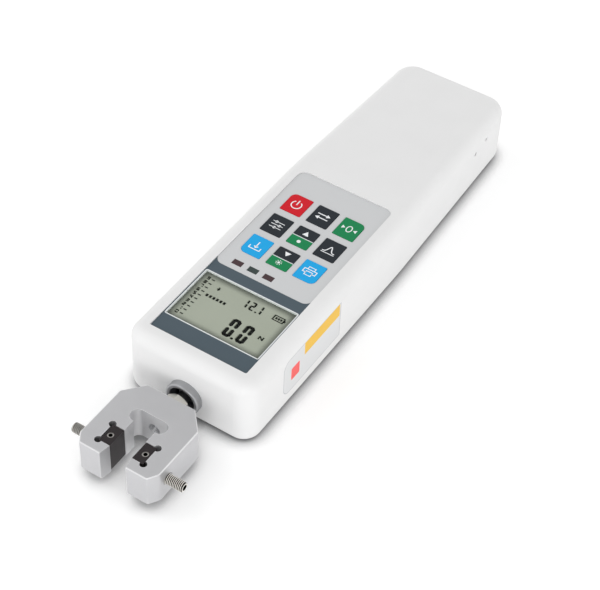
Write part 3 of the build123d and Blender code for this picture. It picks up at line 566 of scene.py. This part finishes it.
def digit(numeral, left, low, width, height, stroke):
    """Seven-segment numeral: each segment is a six-cornered bar with pointed ends."""
    half = stroke / 2
    gap = stroke * 0.12
    right = left + width
    middle = low + height / 2
    top = low + height
    ends = {
        "a": ((left, top - half), (right, top - half)), "d": ((left, low + half), (right, low + half)),
        "g": ((left, middle), (right, middle)),
        "f": ((left + half, middle), (left + half, top)), "b": ((right - half, middle), (right - half, top)),
        "e": ((left + half, low), (left + half, middle)), "c": ((right - half, low), (right - half, middle)),
    }
    shapes = []
    for name in SEGMENTS[numeral]:
        start, end = (np.array(point) for point in ends[name])
        along = (end - start) / np.linalg.norm(end - start)
        across = np.array((-along[1], along[0]))
        start = start + along * (half + gap)
        end = end - along * (half + gap)
        shapes.append(flat_shape([
            start - along * half * 0.8, start - across * half, end - across * half,
            end + along * half * 0.8, end + across * half, start + across * half,
        ]))
    return shapes


def display_marks():
    """Reading, second reading, unit, battery and a numbered scale at the left."""
    marks = []
    big_low = -95.6
    for left in (2.3, 9.3):
        marks += digit("0", left, big_low, 4.3, 11.3, 1.65)
    marks.append(disc((7.85, big_low + 0.55), 0.62))
    small_low = -76.8
    for numeral, left in (("1", 0.2), ("2", 3.9), ("1", 7.7)):
        marks += [sloped(s, small_low, -0.08) for s in digit(numeral, left, small_low, 2.4, 5.2, 0.78)]
    marks.append(disc((7.6, small_low + 0.35), 0.42))
    # unit of force
    marks += [bar(17.1, -88.9, 17.65, -86.8), bar(18.95, -88.9, 19.5, -86.8)]
    marks.append(flat_shape([(17.65, -86.8), (17.65, -87.5), (18.95, -88.9), (18.95, -88.2)]))
    # battery with four full cells
    marks.append(band_shape([(15.9, -75.5), (20.9, -75.5), (20.9, -72.7), (15.9, -72.7)], 0.5, True))
    marks.append(bar(21.1, -74.7, 21.7, -73.5))
    marks += [bar(16.8 + 1.25 * i, -74.75, 17.55 + 1.25 * i, -73.45) for i in range(3)]
    # numbered scale with a tick beside each number
    for i in range(10):
        row = -95.1 + 2.7 * i
        marks += digit(str(i), -21.7, row - 1.0, 1.5, 2.0, 0.5)
        marks.append(bar(-19.2, row - 0.3, -17.8, row + 0.3))
    # hold arrow
    marks.append(flat_shape([(-13.35, -75.2), (-12.5, -73.8), (-14.2, -73.8)]))
    marks.append(bar(-13.6, -73.8, -13.1, -72.9))
    # mode marks
    marks += [bar(-16.2 + 1.85 * i, -80.6, -15.15 + 1.85 * i, -79.0) for i in range(6)]
    return marks


ink_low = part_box("key_unit")[1][2] / mm
ink_high = ink_low + 0.03


def power_mark():
    return [band_shape(arc((0, -0.2), 2.5, 125, 415, 24), 0.55), bar(-0.28, -0.2, 0.28, 3.0)]


def swap_mark():
    """Two arrows that point opposite ways."""
    upper = [bar(-3.2, 0.95, 1.6, 1.5), flat_shape([(1.5, 0.1), (3.4, 1.22), (1.5, 2.35)])]
    lower = [(points @ np.array(((-1, 0), (0, -1))), fills) for points, fills in upper]
    return upper + lower


def zero_mark():
    """A zero between two arrows that point at it."""
    ring = band_shape(arc((0, 0), 1.7, 0, 360, 25)[:-1] * np.array((0.75, 1.15)), 0.5, True)
    right = flat_shape([(2.1, 0), (3.8, -1.1), (3.8, 1.1)])
    left = flat_shape([(-2.1, 0), (-3.8, 1.1), (-3.8, -1.1)])
    return [ring, right, left]


def sliders_mark():
    """Three rails with a knob each."""
    marks = []
    for y, knob in ((1.9, -1.2), (0.0, 1.3), (-1.9, -0.3)):
        marks += [bar(-3.1, y - 0.18, 3.1, y + 0.18), disc((knob, y), 0.78)]
    return marks


def peak_mark():
    """Curve with one high point, over a base line."""
    x = np.linspace(-3.2, 3.2, 28)
    curve = np.column_stack((x, 3.6 * np.exp(-(x / 1.1) ** 2) - 1.5))
    return [band_shape(curve, 0.5), bar(-3.4, -2.6, 3.4, -2.2)]


def tray_mark():
    """Arrow that points down into a tray."""
    tray = band_shape([(-2.8, -0.6), (-2.8, -2.4), (2.8, -2.4), (2.8, -0.6)], 0.5)
    return [tray, bar(-0.28, -0.4, 0.28, 2.8), flat_shape([(-1.3, -0.2), (0, -1.6), (1.3, -0.2)])]


def sheet_mark():
    """Sheet of paper that comes out of a slotted case."""
    case = band_shape([(-1.5, -1.2), (-3.2, -1.2), (-3.2, 1.0), (3.2, 1.0), (3.2, -1.2), (1.5, -1.2)], 0.45)
    paper = band_shape([(-1.6, -0.3), (-1.6, -2.6), (1.6, -2.6), (1.6, -0.3)], 0.4, True)
    return [case, paper, band_shape([(-1.7, 1.2), (-1.7, 2.6), (1.7, 2.6), (1.7, 1.2)], 0.4)]


def up_mark():
    return [flat_shape([(-1.6, 1.5), (1.6, 1.5), (0, 4.3)]), disc((-0.3, -3.3), 0.95)]


def down_mark():
    """Triangle that points down, and a lamp with rays below it."""
    rays = []
    for angle in np.radians(np.arange(0, 360, 45)):
        way = np.array((np.cos(angle), np.sin(angle)))
        centre = np.array((-0.3, -3.1))
        rays.append(band_shape([centre + 0.95 * way, centre + 1.6 * way], 0.32))
    return [flat_shape([(-1.6, 4.5), (0, 1.9), (1.6, 4.5)]), disc((-0.3, -3.1), 0.6)] + rays


SEGMENT_LEVELS = (34.36, 34.39)        # bottom and top of the display's print, over the cell
SEGMENT_SHADOW_LEVELS = (34.352, 34.356)        # of the pale copy under it, the painted shadow of the segments, shifted to the left
relief("display_marks", display_marks(), *SEGMENT_LEVELS, segment_ink, "key_dark", "housing")
# painted shadow: a copy of the segments under the print, shifted to the left
relief("display_segment_shadow", display_marks(), *SEGMENT_SHADOW_LEVELS, segment_shadow_ink, "lcd", "housing", (-0.36, 0.05))
key_marks = {
    "key_power": power_mark(), "key_unit": swap_mark(), "key_zero": zero_mark(),
    "key_set": sliders_mark(), "key_up": up_mark(), "key_peak": peak_mark(),
    "key_memory": tray_mark(), "key_down": down_mark(), "key_print": sheet_mark(),
}
for node, shapes in key_marks.items():
    key_centre = middle_and_size(node)[0][:2]
    relief(node + "_mark", shapes, ink_low, ink_high, white_ink, "diffuser", node, key_centre)

# ---------------------------------------------------------------- threads of the clamp
TURN = np.linspace(0, 2 * np.pi, 48, endpoint=False)
PITCH = 0.8
SOCKET_HALF, SOCKET_DEPTH = 1.25, 3.2  # the hexagon's half width over flats, and how deep it is


def thread(along, radius, pitch, depth):
    """Ridge radius at each station: radius - depth * triangle wave of (station / pitch - angle / turn).

    The ridge is right-handed where stations grow along the axis that the angle turns about.
    """
    phase = (along[:, None] / pitch - TURN / (2 * np.pi)) % 1
    return radius - depth * abs(2 * phase - 1)


def turned(along, radii, axes, centre):
    """Points of a body of revolution: each station's circle of radii stands square to the first axis."""
    place = np.zeros((len(along), len(TURN), 3))
    place[..., axes[0]] = along[:, None]
    place[..., axes[1]] = centre[0] + radii * np.cos(TURN)
    place[..., axes[2]] = centre[1] + radii * np.sin(TURN)
    return place.reshape(-1, 3) * mm


def wrapped(rows, closed):
    """Quads between neighbouring circles of a grid of rows; the last row meets the first where closed."""
    row, column = np.meshgrid(np.arange(rows if closed else rows - 1), np.arange(len(TURN)), indexing="ij")
    across = (row + 1) % rows
    beside = (column + 1) % len(TURN)
    count = len(TURN)
    here, there = row * count, across * count
    return np.stack((here + column, here + beside, there + beside, there + column), -1).reshape(-1, 4)


def clamp_screw(node, side, body):
    """Socket set screw with a grooved nose: its profile along x, with ridges on the long part.

    The hexagon socket is a ring of radius half-width / cos(angle to the nearest flat), sunk into the end.
    """
    nose, shoulder, end = 6.9, 11.35, 28.7
    hexagon = SOCKET_HALF / np.cos((TURN + np.pi / 6) % (np.pi / 3) - np.pi / 6)
    plain = np.array(((nose, 1.6), (7.2, 1.9), (7.4, 1.9), (7.4, 1.2), (10.6, 1.2), (10.6, 1.9), (11.3, 1.9)))
    stations = np.arange(shoulder, end - 0.5, 0.1)
    tail = np.array(((end - 0.1, 2.1), (end, 1.95)))
    along = np.concatenate((plain[:, 0], stations, tail[:, 0], (end, end - SOCKET_DEPTH)))
    round_parts = [np.repeat(part[:, 1:], len(TURN), axis=1) for part in (plain, tail)]
    radii = np.vstack((round_parts[0], thread(side * stations, 2.48, PITCH, 0.42), round_parts[1], hexagon, hexagon))
    points = turned(side * along, radii, (0, 1, 2), (AXIS_Y, AXIS_Z))
    quads = wrapped(len(along), False)
    caps = [np.arange(len(TURN))[::-1], np.arange(len(TURN)) + len(points) - len(TURN)]
    if side < 0:
        quads = quads[:, ::-1]
        caps = [cap[::-1] for cap in caps]
    faces = quads.tolist() + [cap.tolist() for cap in caps]
    made = solid(node + "_thread", points, faces, plated, body)
    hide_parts(node)


def slot_sleeve():
    """Threaded sleeve in the slot's rear wall: plain outside, ridged bore, its rows joined into a ring."""
    front, back = -141.15, -137.35
    stations = np.arange(back, front, -0.1)
    along = np.concatenate(((front, back), stations))
    outside = np.full((2, len(TURN)), 2.98)
    points = turned(along, np.vstack((outside, thread(-stations, 2.92, PITCH, 0.4))), (1, 0, 2), (0.0, ROD_Z))
    quads = wrapped(len(along), True)[:, ::-1]
    solid("slot_thread", points, quads.tolist(), milled, "rod")


for node, side in (("clamp_screw_left", -1), ("clamp_screw_right", 1)):
    clamp_screw(node, side, node)
slot_sleeve()

# ---------------------------------------------------------------- floor, light and camera
FLOOR_GLOW = 0.17
SHADOW_REACH = 0.009                   # how far from the object the painted contact shadow darkens the floor, m


def floor_finish():
    """White paper floor: white to the camera, metal and glass, with a painted contact shadow that darkens it where
    the object is close over it.
    """
    finish = Finish("paper floor", roughness=0.9, specular=0.2)
    settings = {"samples": 16}
    near = finish.node("ShaderNodeAmbientOcclusion", settings, {"Distance": SHADOW_REACH}, "AO")
    # painted contact shadow: to the camera the floor's colour darkens where occlusion finds the object near
    unshadowed_share = 1 - finish.seen() * near.ramp(0.95, 0.2)
    paper = finish.colour(finish.grain(60.0), paint(250, 250, 250), paint(252, 252, 252))
    finish.set("Base Color", finish.colour(unshadowed_share, paint(118, 118, 120), paper))
    glow = finish.seen() * unshadowed_share * FLOOR_GLOW
    finish.set("Emission Color", finish.colour(glow, (0.0, 0.0, 0.0, 1.0), (1.0, 1.0, 1.0, 1.0)))
    finish.shader.inputs["Emission Strength"].default_value = 1.0
    return finish.material


def floor():
    """Square sheet under the object, one quad."""
    reach, low = 3.0, -0.05 * mm
    corners = np.array(((-reach, -reach, low), (reach, -reach, low), (reach, reach, low), (-reach, reach, low)))
    mesh = bpy.data.meshes.new("floor")
    mesh.from_pydata(corners.tolist(), [], [[0, 1, 2, 3]])
    mesh.materials.append(floor_finish())
    made = bpy.data.objects.new("floor", mesh)
    bpy.context.scene.collection.objects.link(made)


def soft_box(name, place, target, size, power):
    """Square lamp that faces a point."""
    lamp = bpy.data.lights.new(name, "AREA")
    lamp.size = size
    lamp.energy = power
    made = bpy.data.objects.new(name, lamp)
    made.location = place
    made.rotation_euler = (Vector(target) - Vector(place)).to_track_quat("-Z", "Y").to_euler()
    bpy.context.scene.collection.objects.link(made)


def studio():
    """Pale dome, brighter towards the horizon than overhead, and two soft boxes: high left and low front."""
    world = bpy.data.worlds.new("studio")
    board = Board(world)
    way = board.node("ShaderNodeTexCoord", {}, {}, "Generated")
    height = board.node("ShaderNodeSeparateXYZ", {}, {"Vector": way}, "Z")
    level = 0.7 + 0.62 * height.ramp(0.66, 0.22)
    light = board.node("ShaderNodeBackground", {}, {"Color": (1, 1, 1, 1), "Strength": level})
    output = board.tree.nodes.new("ShaderNodeOutputWorld")
    board.tree.links.new(light.socket, output.inputs["Surface"])
    bpy.context.scene.world = world
    soft_box("key light", (-0.9, -0.3, 1.3), (0, 0, 0), 0.9, 3.0)
    soft_box("low light", (0.75, -1.35, 0.45), (0, 0, 0), 0.8, 5.0)


def camera():
    """Camera by its azimuth, elevation and roll, and where the object's middle falls in its view."""
    azimuth, elevation, roll = np.radians((30.971, 46.031, 2.771))
    right = np.array((np.cos(azimuth), np.sin(azimuth), 0))
    back = np.array((
        np.sin(azimuth) * np.cos(elevation), -np.cos(azimuth) * np.cos(elevation), np.sin(elevation)
    ))
    up = np.cross(back, right)
    axes = np.array((
        right * np.cos(roll) + up * np.sin(roll), up * np.cos(roll) - right * np.sin(roll), back
    ))
    offset = np.array((46.176, 48.115, 786.921))
    scale = 0.971
    place = scale * (axes.T @ offset) + np.array((0, -109.3, 1.4565))
    lens = bpy.data.cameras.new("camera")
    lens.sensor_width = 36.0
    lens.lens = 104.234
    lens.clip_start = 0.01
    made = bpy.data.objects.new("camera", lens)
    turn = Matrix(axes.T.tolist()).to_4x4()
    made.matrix_world = Matrix.Translation(Vector(place * mm)) @ turn
    bpy.context.scene.collection.objects.link(made)
    bpy.context.scene.camera = made


floor()
studio()
camera()
bpy.context.scene.view_settings.view_transform = "Standard"
